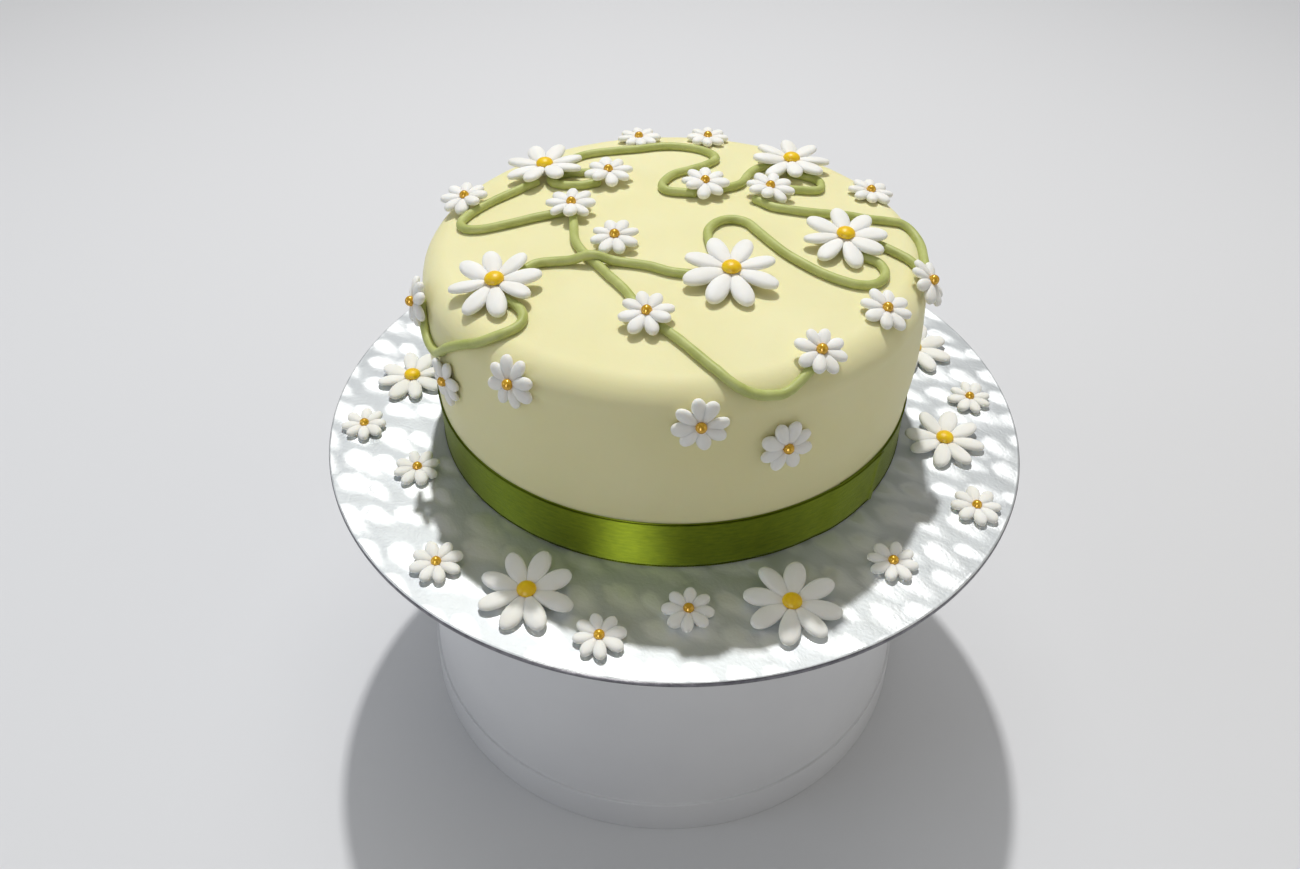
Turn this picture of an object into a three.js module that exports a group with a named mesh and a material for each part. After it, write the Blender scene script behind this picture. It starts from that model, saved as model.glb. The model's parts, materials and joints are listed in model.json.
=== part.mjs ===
// A round celebration cake covered in cream sugar paste, with a satin ribbon, trailing paste vines
// and sugar daisies, on a foil board that rests on a plain white round stand.
// Millimetres, +Z up, origin at the middle of the stand's foot. The front of the cake faces -Y.
import * as THREE from 'three';

// Stand: an upturned drum with a plain skirt band at the foot
const STAND_HEIGHT = 154.2;
const STAND_SHIFT_X = -2.5;
const SKIRT_FOOT_RADIUS = 123;
const SKIRT_TOP_RADIUS = 122;
const SKIRT_HEIGHT = 19.2;
const SKIRT_STEP = 1.4;
const DRUM_TOP_RADIUS = 113;
const DRUM_EDGE = 2.5;

// Board: a 12 inch foil-covered card
const BOARD_RADIUS = 152.4;
const BOARD_THICKNESS = 3;
const BOARD_EDGE = 0.7;

// Cake: 8 inch sponge under rolled icing, set down a little off the middle of its board
const CAKE_CENTRE = new THREE.Vector2(-1, 2);
const CAKE_RADIUS = 101.6;
const CAKE_EDGE_HEIGHT = 83;
const CROWN_HEIGHT = 5;
const SHOULDER_RADIUS = 12;
const WALL_BULGE = 1.4;
const WALL_STRAIGHT = 26;

// Ribbon: satin, wound once round the foot of the cake, its end lapped over its start
const RIBBON_WIDTH = 23.3;
const RIBBON_THICKNESS = 0.5;
const RIBBON_LAP_BEARING = -36;
const RIBBON_LAP_SWEEP = 15;
const RIBBON_STEP_ANGLE = 5;

// Vines: strings of rolled green paste
const VINE_RADIUS = 2;
const VINE_STEP = 5;
const VINE_SIDES = 6;

// Space kept between pieces that rest on each other
const GAP = 0.3;

const BOARD_BOTTOM = STAND_HEIGHT + GAP;
const BOARD_TOP = BOARD_BOTTOM + BOARD_THICKNESS;
const CAKE_BOTTOM = BOARD_TOP + GAP;
const WALL_TOP = CAKE_EDGE_HEIGHT - SHOULDER_RADIUS;
const CROWN_RADIUS = CAKE_RADIUS - SHOULDER_RADIUS;
const ROUND_SEGMENTS = 64;

const icing = { color: '#efead0', roughness: 0.62 };
const petalPaste = { color: '#f2f1ec', roughness: 0.6 };
const vinePaste = { color: '#a9b46a', roughness: 0.55 };
const satin = { color: '#5c7a1c', roughness: 0.35 };
const foil = { color: '#d5d8da', roughness: 0.28, metalness: 0.85 };
const whiteCard = { color: '#e9e9ea', roughness: 0.55 };

const cakeOnStand = new THREE.Group();

function addPiece(name, geometry, finish) {
  const piece = new THREE.Mesh(geometry, new THREE.MeshStandardMaterial(finish));
  piece.name = name;
  cakeOnStand.add(piece);
  return piece;
}

function turnedSolid(outline, segments) {
  const geometry = new THREE.LatheGeometry(outline, segments);
  geometry.rotateX(Math.PI / 2);
  return geometry;
}

function solidFromTriangles(points, triangles) {
  const geometry = new THREE.BufferGeometry();
  geometry.setAttribute('position', new THREE.Float32BufferAttribute(points.flat(), 3));
  geometry.setIndex(triangles);
  geometry.computeVertexNormals();
  return geometry;
}

// Stand
function standOutline() {
  const drumFootRadius = SKIRT_TOP_RADIUS - SKIRT_STEP;
  return [
    new THREE.Vector2(0, 0),
    new THREE.Vector2(SKIRT_FOOT_RADIUS, 0),
    new THREE.Vector2(SKIRT_TOP_RADIUS, SKIRT_HEIGHT - SKIRT_STEP / 2),
    new THREE.Vector2(SKIRT_TOP_RADIUS - SKIRT_STEP / 2, SKIRT_HEIGHT),
    new THREE.Vector2(drumFootRadius, SKIRT_HEIGHT),
    new THREE.Vector2(DRUM_TOP_RADIUS, STAND_HEIGHT - DRUM_EDGE),
    new THREE.Vector2(DRUM_TOP_RADIUS - DRUM_EDGE, STAND_HEIGHT),
    new THREE.Vector2(0, STAND_HEIGHT),
  ];
}

const stand = addPiece('stand', turnedSolid(standOutline(), ROUND_SEGMENTS), whiteCard);
stand.position.x = STAND_SHIFT_X;

// Board
function boardOutline() {
  const flatRadius = BOARD_RADIUS - BOARD_EDGE;
  return [
    new THREE.Vector2(0, 0),
    new THREE.Vector2(flatRadius, 0),
    new THREE.Vector2(BOARD_RADIUS, BOARD_EDGE),
    new THREE.Vector2(BOARD_RADIUS, BOARD_THICKNESS - BOARD_EDGE),
    new THREE.Vector2(flatRadius, BOARD_THICKNESS),
    new THREE.Vector2(0, BOARD_THICKNESS),
  ];
}

const board = addPiece('board', turnedSolid(boardOutline(), ROUND_SEGMENTS), foil);
board.position.z = BOARD_BOTTOM;

// Cake outline from the middle of the top, over the shoulder and down the wall, with the
// number of steps given for each stretch
function cakeOutline(crownSteps, shoulderSteps, wallSteps) {
  const outline = [];
  for (let i = 0; i < crownSteps; i += 1) {
    const out = i / crownSteps;
    const height = CAKE_EDGE_HEIGHT + CROWN_HEIGHT * (1 - out * out);
    outline.push(new THREE.Vector2(CROWN_RADIUS * out, height));
  }
  for (let i = 0; i < shoulderSteps; i += 1) {
    const turn = (Math.PI / 2) * (1 - i / shoulderSteps);
    const radius = CROWN_RADIUS + SHOULDER_RADIUS * Math.cos(turn);
    outline.push(new THREE.Vector2(radius, WALL_TOP + SHOULDER_RADIUS * Math.sin(turn)));
  }
  for (let i = 0; i <= wallSteps; i += 1) {
    const down = i / wallSteps;
    const radius = CAKE_RADIUS + WALL_BULGE * Math.sin(Math.PI * down);
    outline.push(new THREE.Vector2(radius, WALL_TOP + (WALL_STRAIGHT - WALL_TOP) * down));
  }
  outline.push(new THREE.Vector2(CAKE_RADIUS, 0));
  return outline;
}

const cakeSolid = cakeOutline(3, 4, 3);
cakeSolid.push(new THREE.Vector2(0, 0));
const cake = addPiece('iced_cake', turnedSolid(cakeSolid.reverse(), ROUND_SEGMENTS), icing);
cake.position.set(CAKE_CENTRE.x, CAKE_CENTRE.y, CAKE_BOTTOM);

// The icing is a flat round sheet smoothed down over the cake, so a place on it is given by its
// x and y on the flat sheet: the distance from the middle runs along the outline.
const FINE_OUTLINE = cakeOutline(24, 16, 16);

function onIcing(sheetX, sheetY, lift) {
  const bearing = Math.atan2(sheetY, sheetX);
  let left = Math.hypot(sheetX, sheetY);
  let step = 1;
  let length = FINE_OUTLINE[0].distanceTo(FINE_OUTLINE[1]);
  while (left > length && step < FINE_OUTLINE.length - 1) {
    left -= length;
    step += 1;
    length = FINE_OUTLINE[step - 1].distanceTo(FINE_OUTLINE[step]);
  }
  const along = FINE_OUTLINE[step].clone().sub(FINE_OUTLINE[step - 1]).normalize();
  const place = FINE_OUTLINE[step - 1].clone().addScaledVector(along, left);
  const outward = new THREE.Vector2(-along.y, along.x);
  place.addScaledVector(outward, lift);
  const across = new THREE.Vector3(Math.cos(bearing), Math.sin(bearing), 0);
  return {
    point: across.clone().multiplyScalar(place.x)
      .add(new THREE.Vector3(CAKE_CENTRE.x, CAKE_CENTRE.y, CAKE_BOTTOM + place.y)),
    normal: across.clone().multiplyScalar(outward.x).add(new THREE.Vector3(0, 0, outward.y)),
    down: across.clone().multiplyScalar(along.x).add(new THREE.Vector3(0, 0, along.y)),
    bearing,
  };
}

// Ribbon: a thin band, one layer thick, with the lapped end as a second layer
function ribbonGeometry() {
  const inner = CAKE_RADIUS + GAP + 0.1;
  const outer = inner + RIBBON_THICKNESS;
  const lapSteps = Math.round(RIBBON_LAP_SWEEP / RIBBON_STEP_ANGLE);
  const turnSteps = Math.round(360 / RIBBON_STEP_ANGLE);

  function onCircle(radius, step) {
    const turn = THREE.MathUtils.degToRad(RIBBON_LAP_BEARING + RIBBON_STEP_ANGLE * step);
    return new THREE.Vector2(radius * Math.cos(turn), radius * Math.sin(turn));
  }

  const outline = [];
  for (let step = 0; step <= lapSteps; step += 1) {
    outline.push(onCircle(outer + RIBBON_THICKNESS, step));
  }
  for (let step = lapSteps; step <= turnSteps; step += 1) {
    outline.push(onCircle(outer, step));
  }
  const hole = [];
  for (let step = 0; step < turnSteps; step += 1) {
    hole.push(onCircle(inner, -step));
  }
  const band = new THREE.Shape(outline);
  band.holes.push(new THREE.Path(hole));
  return new THREE.ExtrudeGeometry(band, { depth: RIBBON_WIDTH, bevelEnabled: false });
}

const ribbon = addPiece('ribbon', ribbonGeometry(), satin);
ribbon.position.set(CAKE_CENTRE.x, CAKE_CENTRE.y, CAKE_BOTTOM);

// Vines: each route is a list of places on the flat sheet, with a third number where the vine
// climbs over the one that it crosses
const vineRoutes = {
  vine_back_left_loop: [
    [-48, 8], [-57, 5], [-67, 1], [-77, -2], [-84, -1], [-87, 4],
    [-84, 12], [-77, 21], [-70, 28], [-62, 36],
  ],
  vine_back_rim: [
    [-47, 61], [-42, 66], [-35, 69], [-26, 71], [-17, 73], [-8, 76], [1, 76], [10, 73], [16, 67],
    [17, 61], [12, 54], [6, 49], [-1, 44], [-5, 37], [-6, 31], [-3, 27], [5, 26],
  ],
  vine_back_middle: [[20, 31], [27, 36], [31, 46], [35, 53], [40, 56]],
  vine_back_right_curl: [[52, 50], [59, 47], [62, 43], [61, 36], [56, 34], [51, 34], [46, 33]],
  vine_back_hook: [[-53, 41], [-53, 37], [-49, 34], [-41, 33], [-36, 34.5]],
  vine_left_drop: [
    [-41, 4], [-40, -4], [-39, -12], [-37, -18], [-33, -25], [-28, -32],
    [-24, -38], [-17, -48], [-13, -57],
  ],
  vine_front_swag: [
    [-4, -68], [2, -74], [8, -81], [14, -88], [20, -93.5], [27, -96],
    [34, -95.5], [40, -93], [46, -86],
  ],
  vine_cross: [
    [-56, -33], [-52, -29.5], [-46, -28.5], [-39, -28.5, 0.8], [-31, -28.5, 4.6], [-23, -29, 0.8],
    [-17, -30], [-9, -32], [-1, -35.5], [9, -37],
  ],
  vine_right_s: [
    [14, -17], [13, -11], [13, -6], [15, -1], [19, 3], [24, 4], [29, 1.5], [33, -5], [38, -13],
    [43, -20], [49, -26], [55, -31], [62, -35], [69, -37], [75, -35.5], [79, -31],
    [80, -25.5], [78, -20.5], [73, -18],
  ],
  vine_right_rim: [
    [31, 19], [38, 16], [47, 15], [55, 14], [63, 14], [71, 14], [79, 13], [87, 13], [93, 12],
    [97, 7], [99, 0], [98.5, -8], [98, -15],
  ],
  vine_right_drop: [[76, -6], [81, -8], [86, -11.5], [90, -15], [93, -19]],
  vine_left_swag: [
    [-59, -53], [-55, -57], [-53, -62], [-54, -67], [-59, -71], [-67, -72], [-76, -69.5],
    [-86, -66], [-95, -63.5], [-101, -60], [-105.5, -54], [-107.5, -48], [-106, -43],
  ],
};

function vineGeometry(route) {
  const points = route.map(([x, y, climb = 0]) => onIcing(x, y, GAP + VINE_RADIUS + climb).point);
  const centreLine = new THREE.CatmullRomCurve3(points);
  const section = new THREE.Shape();
  for (let side = 0; side < VINE_SIDES; side += 1) {
    const turn = (2 * Math.PI * side) / VINE_SIDES;
    const x = VINE_RADIUS * Math.cos(turn);
    const y = VINE_RADIUS * Math.sin(turn);
    if (side === 0) {
      section.moveTo(x, y);
    } else {
      section.lineTo(x, y);
    }
  }
  section.closePath();
  return new THREE.ExtrudeGeometry(section, {
    steps: Math.round(centreLine.getLength() / VINE_STEP),
    extrudePath: centreLine,
    bevelEnabled: false,
  });
}

for (const [name, route] of Object.entries(vineRoutes)) {
  addPiece(name, vineGeometry(route), vinePaste);
}

// Daisies: eight petals round a button, one solid each. The outline of a petal is given by the
// angle from its middle and the share of the daisy's radius there. seat is the height of the
// petals' roots, tip the height of their tips, over the surface that the daisy rests on.
const PETALS = 8;
const HALF_PETAL = 180 / PETALS;

const largeDaisy = {
  petalOutline: [[-15.5, 0.7], [-8, 0.93], [0, 1], [8, 0.93], [15.5, 0.7]],
  valleyRadius: 5.6,
  petalCrown: 0.7,
  petalThickness: 2.2,
  hubRadius: 3.4,
  buttonRadius: 3.9,
  buttonHeight: 3.2,
  middleRing: 0.6,
};

const smallDaisy = {
  petalOutline: [[-15.5, 0.76], [0, 1], [15.5, 0.76]],
  valleyRadius: 3.4,
  petalCrown: 0.5,
  petalThickness: 1.7,
  hubRadius: 2.2,
  buttonRadius: 2.3,
  buttonHeight: 3.4,
  middleRing: 0,
};

// Heights of the two sorts on a vine end, straight on the icing, and on the board
const largeOnVine = { ...largeDaisy, seat: 4.7, tip: 5.7 };
const largeOnBoard = { ...largeDaisy, seat: 2.4, tip: 3.6 };
const smallOnVine = { ...smallDaisy, seat: 4.7, tip: 5.3 };
const smallOnIcing = { ...smallDaisy, seat: 1.2, tip: 3.2 };
const smallOnBoard = { ...smallDaisy, seat: 2.2, tip: 2.9 };

function daisyGeometry(sort, radius) {
  const points = [];
  const triangles = [];
  const rootTop = sort.seat + sort.petalThickness;

  function addRing(ring) {
    const first = points.length;
    points.push(...ring);
    return Array.from(ring, (_, i) => first + i);
  }

  function hubRing(ringRadius, height) {
    return addRing(Array.from({ length: PETALS }, (_, petal) => {
      const turn = THREE.MathUtils.degToRad(2 * HALF_PETAL * petal - HALF_PETAL);
      return [ringRadius * Math.cos(turn), ringRadius * Math.sin(turn), height];
    }));
  }

  // A ring of the petals at a share of the way out, from the valley before each petal
  function petalRing(share) {
    const ring = [];
    for (let petal = 0; petal < PETALS; petal += 1) {
      const columns = [[-HALF_PETAL, sort.valleyRadius / radius], ...sort.petalOutline];
      for (const [angle, reach] of columns) {
        const turn = THREE.MathUtils.degToRad(2 * HALF_PETAL * petal + angle);
        const rim = radius * reach;
        const inner = sort.buttonRadius + (rim - sort.buttonRadius) * share;
        const out = share === 1 ? rim : inner;
        const climb = (out / radius) * (sort.tip - sort.seat);
        const edge = sort.seat + climb + sort.petalThickness * (share === 1 ? 0.4 : 0.75);
        const crown = share === 1 ? 0 : sort.petalCrown * Math.cos((angle / HALF_PETAL) * Math.PI / 2);
        ring.push([out * Math.cos(turn), out * Math.sin(turn), edge + crown]);
      }
    }
    return addRing(ring);
  }

  function joinEqual(lower, upper) {
    for (let i = 0; i < lower.length; i += 1) {
      const next = (i + 1) % lower.length;
      triangles.push(lower[i], lower[next], upper[next], lower[i], upper[next], upper[i]);
    }
  }

  // Joins an outer ring with many points to a hub ring that has one for each petal
  function joinHub(outer, hub, upward) {
    const perPetal = outer.length / PETALS;
    const add = (a, b, c) => (upward ? triangles.push(a, b, c) : triangles.push(a, c, b));
    for (let petal = 0; petal < PETALS; petal += 1) {
      const nextHub = hub[(petal + 1) % PETALS];
      const half = Math.ceil(perPetal / 2);
      for (let i = 0; i < perPetal; i += 1) {
        const a = outer[petal * perPetal + i];
        const b = outer[(petal * perPetal + i + 1) % outer.length];
        add(a, b, i < half ? hub[petal] : nextHub);
        if (i === half - 1) {
          add(b, nextHub, hub[petal]);
        }
      }
    }
  }

  function capRing(ring, height, upward) {
    const middle = addRing([[0, 0, height]])[0];
    for (let i = 0; i < ring.length; i += 1) {
      const next = ring[(i + 1) % ring.length];
      triangles.push(...(upward ? [middle, ring[i], next] : [middle, next, ring[i]]));
    }
  }

  const foot = hubRing(sort.hubRadius, GAP);
  const hubTop = hubRing(sort.hubRadius, sort.seat);
  const rim = petalRing(1);
  const buttonFoot = hubRing(sort.buttonRadius * 0.92, rootTop);
  const buttonSide = hubRing(sort.buttonRadius, rootTop + sort.buttonHeight * 0.4);
  const buttonShoulder = hubRing(sort.buttonRadius * 0.7, rootTop + sort.buttonHeight * 0.85);
  capRing(foot, GAP, false);
  joinEqual(foot, hubTop);
  joinHub(rim, hubTop, false);
  if (sort.middleRing > 0) {
    const middle = petalRing(sort.middleRing);
    joinEqual(rim, middle);
    joinHub(middle, buttonFoot, true);
  } else {
    joinHub(rim, buttonFoot, true);
  }
  joinEqual(buttonFoot, buttonSide);
  joinEqual(buttonSide, buttonShoulder);
  capRing(buttonShoulder, rootTop + sort.buttonHeight, true);
  return solidFromTriangles(points, triangles);
}

function addDaisyOnCake(name, sort, radius, sheetX, sheetY, spin) {
  const daisy = addPiece(name, daisyGeometry(sort, radius), petalPaste);
  const place = onIcing(sheetX, sheetY, 0);
  const turn = THREE.MathUtils.degToRad(spin) - place.bearing;
  const around = place.normal.clone().cross(place.down);
  const xAxis = place.down.clone().multiplyScalar(Math.cos(turn))
    .addScaledVector(around, Math.sin(turn));
  const yAxis = place.normal.clone().cross(xAxis);
  daisy.quaternion.setFromRotationMatrix(
    new THREE.Matrix4().makeBasis(xAxis, yAxis, place.normal),
  );
  daisy.position.copy(place.point);
}

function addDaisyOnBoard(name, sort, radius, x, y, spin) {
  const daisy = addPiece(name, daisyGeometry(sort, radius), petalPaste);
  daisy.rotation.z = THREE.MathUtils.degToRad(spin);
  daisy.position.set(x, y, BOARD_TOP);
}

// On the cake: sort, radius, place on the flat sheet, and spin in degrees
const cakeDaisies = {
  daisy_large_left: [largeOnVine, 18.5, -65, -45, 10],
  daisy_large_middle: [largeOnVine, 19.5, 21, -38, 22],
  daisy_large_right: [largeOnVine, 18, 66, -9, 10],
  daisy_large_back_right: [largeOnVine, 18.5, 50, 57, 3],
  daisy_large_back_left: [largeOnVine, 18.5, -57, 47, 26],
  daisy_top_1: [smallOnVine, 11, -42, 10, 1],
  daisy_top_2: [smallOnVine, 11, -29, 40, 12],
  daisy_top_3: [smallOnVine, 11, 12, 30, -3],
  daisy_top_4: [smallOnVine, 11, 39, 28, -13],
  daisy_top_5: [smallOnVine, 11, -9, -64, 15],
  daisy_top_6: [smallOnVine, 10, 50, -79, -9],
  daisy_top_7: [smallOnVine, 10.5, -23, -16, 19],
  daisy_rim_1: [smallOnIcing, 10.5, 77, -51, -6],
  daisy_rim_2: [smallOnVine, 10.5, 96, -27, 5],
  daisy_rim_3: [smallOnIcing, 10.5, 83, 38, 0],
  daisy_rim_4: [smallOnIcing, 10.5, 14, 88, 0],
  daisy_rim_5: [smallOnIcing, 10.5, -18, 86, 10],
  daisy_rim_6: [smallOnVine, 11, -88, 21, 0],
  daisy_rim_7: [smallOnVine, 10.5, -99, -38, 12],
  daisy_side_1: [smallOnIcing, 10.5, -57, -89, -11],
  daisy_side_2: [smallOnIcing, 10.5, 11, -108, 15],
  daisy_side_3: [smallOnIcing, 11, 48, -113, 1],
  daisy_side_4: [smallOnIcing, 10.5, -101, -73, 10],
  daisy_side_5: [smallOnIcing, 10.5, 64, 108, 8],
  daisy_side_6: [smallOnIcing, 11, -22, 120, -14],
  daisy_side_7: [smallOnIcing, 10.5, -106, 60, 3],
};

// On the board: sort, radius, x and y from the board's middle, and spin in degrees
const boardDaisies = {
  daisy_board_large_1: [largeOnBoard, 17, -121, 10, -26],
  daisy_board_large_2: [largeOnBoard, 19.5, -52, -116, -19],
  daisy_board_large_3: [largeOnBoard, 19.5, 45, -118, -10],
  daisy_board_large_4: [largeOnBoard, 18, 117.5, -25, -17],
  daisy_board_large_5: [largeOnBoard, 19, 115, 41, -22],
  daisy_board_large_6: [largeOnBoard, 19, -22, 127, 6],
  daisy_board_1: [smallOnBoard, 10.5, -135, -24, 9],
  daisy_board_2: [smallOnBoard, 10.5, -106, -51, 22],
  daisy_board_3: [smallOnBoard, 11, -88, -103, 21],
  daisy_board_4: [smallOnBoard, 10.5, -24, -135, 12],
  daisy_board_5: [smallOnBoard, 10.5, 7.5, -122, -4],
  daisy_board_6: [smallOnBoard, 10.5, 85, -96, -13],
  daisy_board_7: [smallOnBoard, 11, 123, -65, -2],
  daisy_board_8: [smallOnBoard, 10.5, 134.5, 5, 9],
  daisy_board_9: [smallOnBoard, 10.5, 48, 124, 17],
  daisy_board_10: [smallOnBoard, 11, -92, 95, -8],
};

for (const [name, daisy] of Object.entries(cakeDaisies)) {
  addDaisyOnCake(name, ...daisy);
}
for (const [name, daisy] of Object.entries(boardDaisies)) {
  addDaisyOnBoard(name, ...daisy);
}

export default cakeOnStand;
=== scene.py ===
import json
import math
import random

import bmesh
import bpy
import numpy as np
from mathutils import Matrix, Quaternion, Vector, noise
from mathutils.bvhtree import BVHTree

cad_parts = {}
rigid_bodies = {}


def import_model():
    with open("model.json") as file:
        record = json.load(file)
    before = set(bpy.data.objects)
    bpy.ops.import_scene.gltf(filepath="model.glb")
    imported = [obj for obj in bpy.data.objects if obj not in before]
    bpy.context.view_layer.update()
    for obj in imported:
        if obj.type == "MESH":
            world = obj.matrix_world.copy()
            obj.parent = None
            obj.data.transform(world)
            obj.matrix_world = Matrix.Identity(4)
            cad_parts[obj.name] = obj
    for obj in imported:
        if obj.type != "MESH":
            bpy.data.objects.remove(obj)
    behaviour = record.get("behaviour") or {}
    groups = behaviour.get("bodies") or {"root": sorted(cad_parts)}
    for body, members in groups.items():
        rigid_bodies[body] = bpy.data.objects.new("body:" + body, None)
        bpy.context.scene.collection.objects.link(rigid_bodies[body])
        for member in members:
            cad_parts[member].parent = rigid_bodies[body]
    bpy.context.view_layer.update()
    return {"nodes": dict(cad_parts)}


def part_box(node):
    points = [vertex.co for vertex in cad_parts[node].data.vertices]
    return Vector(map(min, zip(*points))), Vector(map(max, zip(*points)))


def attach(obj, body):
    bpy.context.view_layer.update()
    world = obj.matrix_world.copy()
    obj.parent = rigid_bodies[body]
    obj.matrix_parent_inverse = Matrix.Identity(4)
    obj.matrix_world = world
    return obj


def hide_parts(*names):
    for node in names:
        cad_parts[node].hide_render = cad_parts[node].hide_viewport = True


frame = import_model()


# Stand: a closed drum of white moulded plastic that carries the board, with a slightly wider skirt
# band round its foot. It is turned from its outline, with the soft edges of a moulding.
STAND_SKIRT_FOOT = 0.123
STAND_SKIRT_TOP = 0.122
STAND_SKIRT_HEIGHT = 0.0192
STAND_SKIRT_STEP = 0.0014
STAND_DRUM_TOP = 0.113
STAND_STEP_EDGE = 0.0006
STAND_TOP_EDGE = 0.0022
FINE_SEGMENTS = 256


def paint(red, green, blue):
    """A colour as a painter would name it, 0 to 255, turned into the linear light a shader takes."""
    parts = [part / 255 for part in (red, green, blue)]
    linear = [p / 12.92 if p <= 0.04045 else ((p + 0.055) / 1.055) ** 2.4 for p in parts]
    return (*linear, 1.0)


def new_finish(name):
    finish = bpy.data.materials.new(name)
    finish.use_nodes = True
    return finish, finish.node_tree, finish.node_tree.nodes["Principled BSDF"]


def add_node(tree, kind, wiring=None, **settings):
    """Adds one node. wiring gives each input a value, or the output that feeds it."""
    made = tree.nodes.new(kind)
    for setting, value in settings.items():
        setattr(made, setting, value)
    for socket, source in (wiring or {}).items():
        if isinstance(source, bpy.types.NodeSocket):
            tree.links.new(source, made.inputs[socket])
        else:
            made.inputs[socket].default_value = source
    return made


def set_sockets(shader, values):
    """Sets what is the same all over a finish, on the shader itself."""
    for socket, value in values.items():
        shader.inputs[socket].default_value = value


def object_place(tree):
    return add_node(tree, "ShaderNodeTexCoord").outputs["Object"]


def mottle(tree, place, scale, detail=3.0, roughness=0.5):
    """Soft noise over a piece. scale is in spots for each metre."""
    return add_node(tree, "ShaderNodeTexNoise", {
        "Vector": place, "Scale": scale, "Detail": detail, "Roughness": roughness,
    }).outputs["Fac"]


def tint(tree, shader, factor, low, high, start=0.3, end=0.7):
    """Colours a finish from low, where a factor is start, to high, where it is end."""
    ramp = add_node(tree, "ShaderNodeValToRGB", {"Fac": factor})
    for element, position, colour in zip(ramp.color_ramp.elements, (start, end), (low, high)):
        element.position = position
        element.color = paint(*colour)
    tree.links.new(ramp.outputs["Color"], shader.inputs["Base Color"])


def roughen(tree, shader, factor, low, high):
    """Makes a finish as rough as low where a factor is 0, and as high where it is 1."""
    spread = add_node(tree, "ShaderNodeMapRange", {"Value": factor, "To Min": low, "To Max": high})
    tree.links.new(spread.outputs["Result"], shader.inputs["Roughness"])


def relief(tree, height, distance, strength=1.0, over=None):
    """Fine relief that many heights make, distance metres deep, on top of another one."""
    wiring = {"Height": height, "Strength": strength, "Distance": distance}
    if over is not None:
        wiring["Normal"] = over
    return add_node(tree, "ShaderNodeBump", wiring).outputs["Normal"]


def rounded(corners, steps=5):
    """An outline whose corners are turned into small arcs. Each is (radius, height, arc size)."""
    points = [Vector(corner[:2]) for corner in corners]
    outline = [points[0]]
    for before, corner, after, (*_, radius) in zip(points, points[1:], points[2:], corners[1:]):
        back = before - corner
        ahead = after - corner
        cut = min(radius, back.length * 0.45, ahead.length * 0.45)
        start = corner + back.normalized() * cut
        end = corner + ahead.normalized() * cut
        for step in range(steps + 1):
            t = step / steps
            outline.append(start * (1 - t) ** 2 + corner * 2 * t * (1 - t) + end * t ** 2)
    outline.append(points[-1])
    return outline


def mesh_from(bm, name):
    mesh = bpy.data.meshes.new(name)
    bm.to_mesh(mesh)
    bm.free()
    mesh.polygons.foreach_set("use_smooth", [True] * len(mesh.polygons))
    return mesh


def turned_mesh(name, outline, centre, segments=FINE_SEGMENTS, shape=None):
    """A closed turned body. The outline runs from the axis at the foot to the axis at the top.
    shape, if given, moves each point a little, to take off the machine-made look."""
    bm = bmesh.new()
    foot = bm.verts.new((centre[0], centre[1], outline[0][1]))
    top = bm.verts.new((centre[0], centre[1], outline[-1][1]))
    rings = []
    for radius, height in outline[1:-1]:
        ring = []
        for segment in range(segments):
            turn = math.tau * segment / segments
            spot = Vector((radius * math.cos(turn), radius * math.sin(turn), height))
            if shape:
                spot = shape(spot)
            ring.append(bm.verts.new((spot.x + centre[0], spot.y + centre[1], spot.z)))
        rings.append(ring)
    for i in range(segments):
        j = (i + 1) % segments
        bm.faces.new((foot, rings[0][j], rings[0][i]))
        bm.faces.new((top, rings[-1][i], rings[-1][j]))
        for lower, upper in zip(rings, rings[1:]):
            bm.faces.new((lower[i], lower[j], upper[j], upper[i]))
    return mesh_from(bm, name)


def new_piece(name, mesh, finishes, replaced):
    """Puts a finished mesh into the scene as a piece that rides on the one body."""
    piece = bpy.data.objects.new(name, mesh)
    bpy.context.scene.collection.objects.link(piece)
    # Only a mesh that a tree made comes with a finish. Clearing also resets each face's finish.
    if len(mesh.materials):
        mesh.materials.clear()
    for finish in finishes:
        mesh.materials.append(finish)
    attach(piece, "root")
    if replaced:
        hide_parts(*replaced)
    return piece


def stand_finish():
    finish, tree, shader = new_finish("white moulded plastic")
    place = object_place(tree)
    cloud = mottle(tree, place, 14.0)
    tint(tree, shader, cloud, (216, 217, 221), (223, 224, 227))
    scuffs = mottle(tree, place, 260.0, detail=4.0, roughness=0.65)
    roughen(tree, shader, scuffs, 0.34, 0.5)
    grain = mottle(tree, place, 2200.0, detail=2.0)
    tree.links.new(relief(tree, grain, 0.00003, 0.6), shader.inputs["Normal"])
    shader.inputs["Specular IOR Level"].default_value = 0.4
    return finish


stand_low, stand_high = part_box("stand")
board_low, board_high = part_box("board")
stand_middle = ((stand_low.x + stand_high.x) / 2, (stand_low.y + stand_high.y) / 2)
stand_top = board_low.z
stand_outline = rounded([
    (0, 0, 0),
    (STAND_SKIRT_FOOT, 0, STAND_STEP_EDGE),
    (STAND_SKIRT_TOP, STAND_SKIRT_HEIGHT, STAND_STEP_EDGE),
    (STAND_SKIRT_TOP - STAND_SKIRT_STEP, STAND_SKIRT_HEIGHT, STAND_STEP_EDGE),
    (STAND_DRUM_TOP, stand_top, STAND_TOP_EDGE),
    (0, stand_top, 0),
])
new_piece("stand_drum", turned_mesh("stand_drum", stand_outline, stand_middle),
          [stand_finish()], ["stand"])


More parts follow.
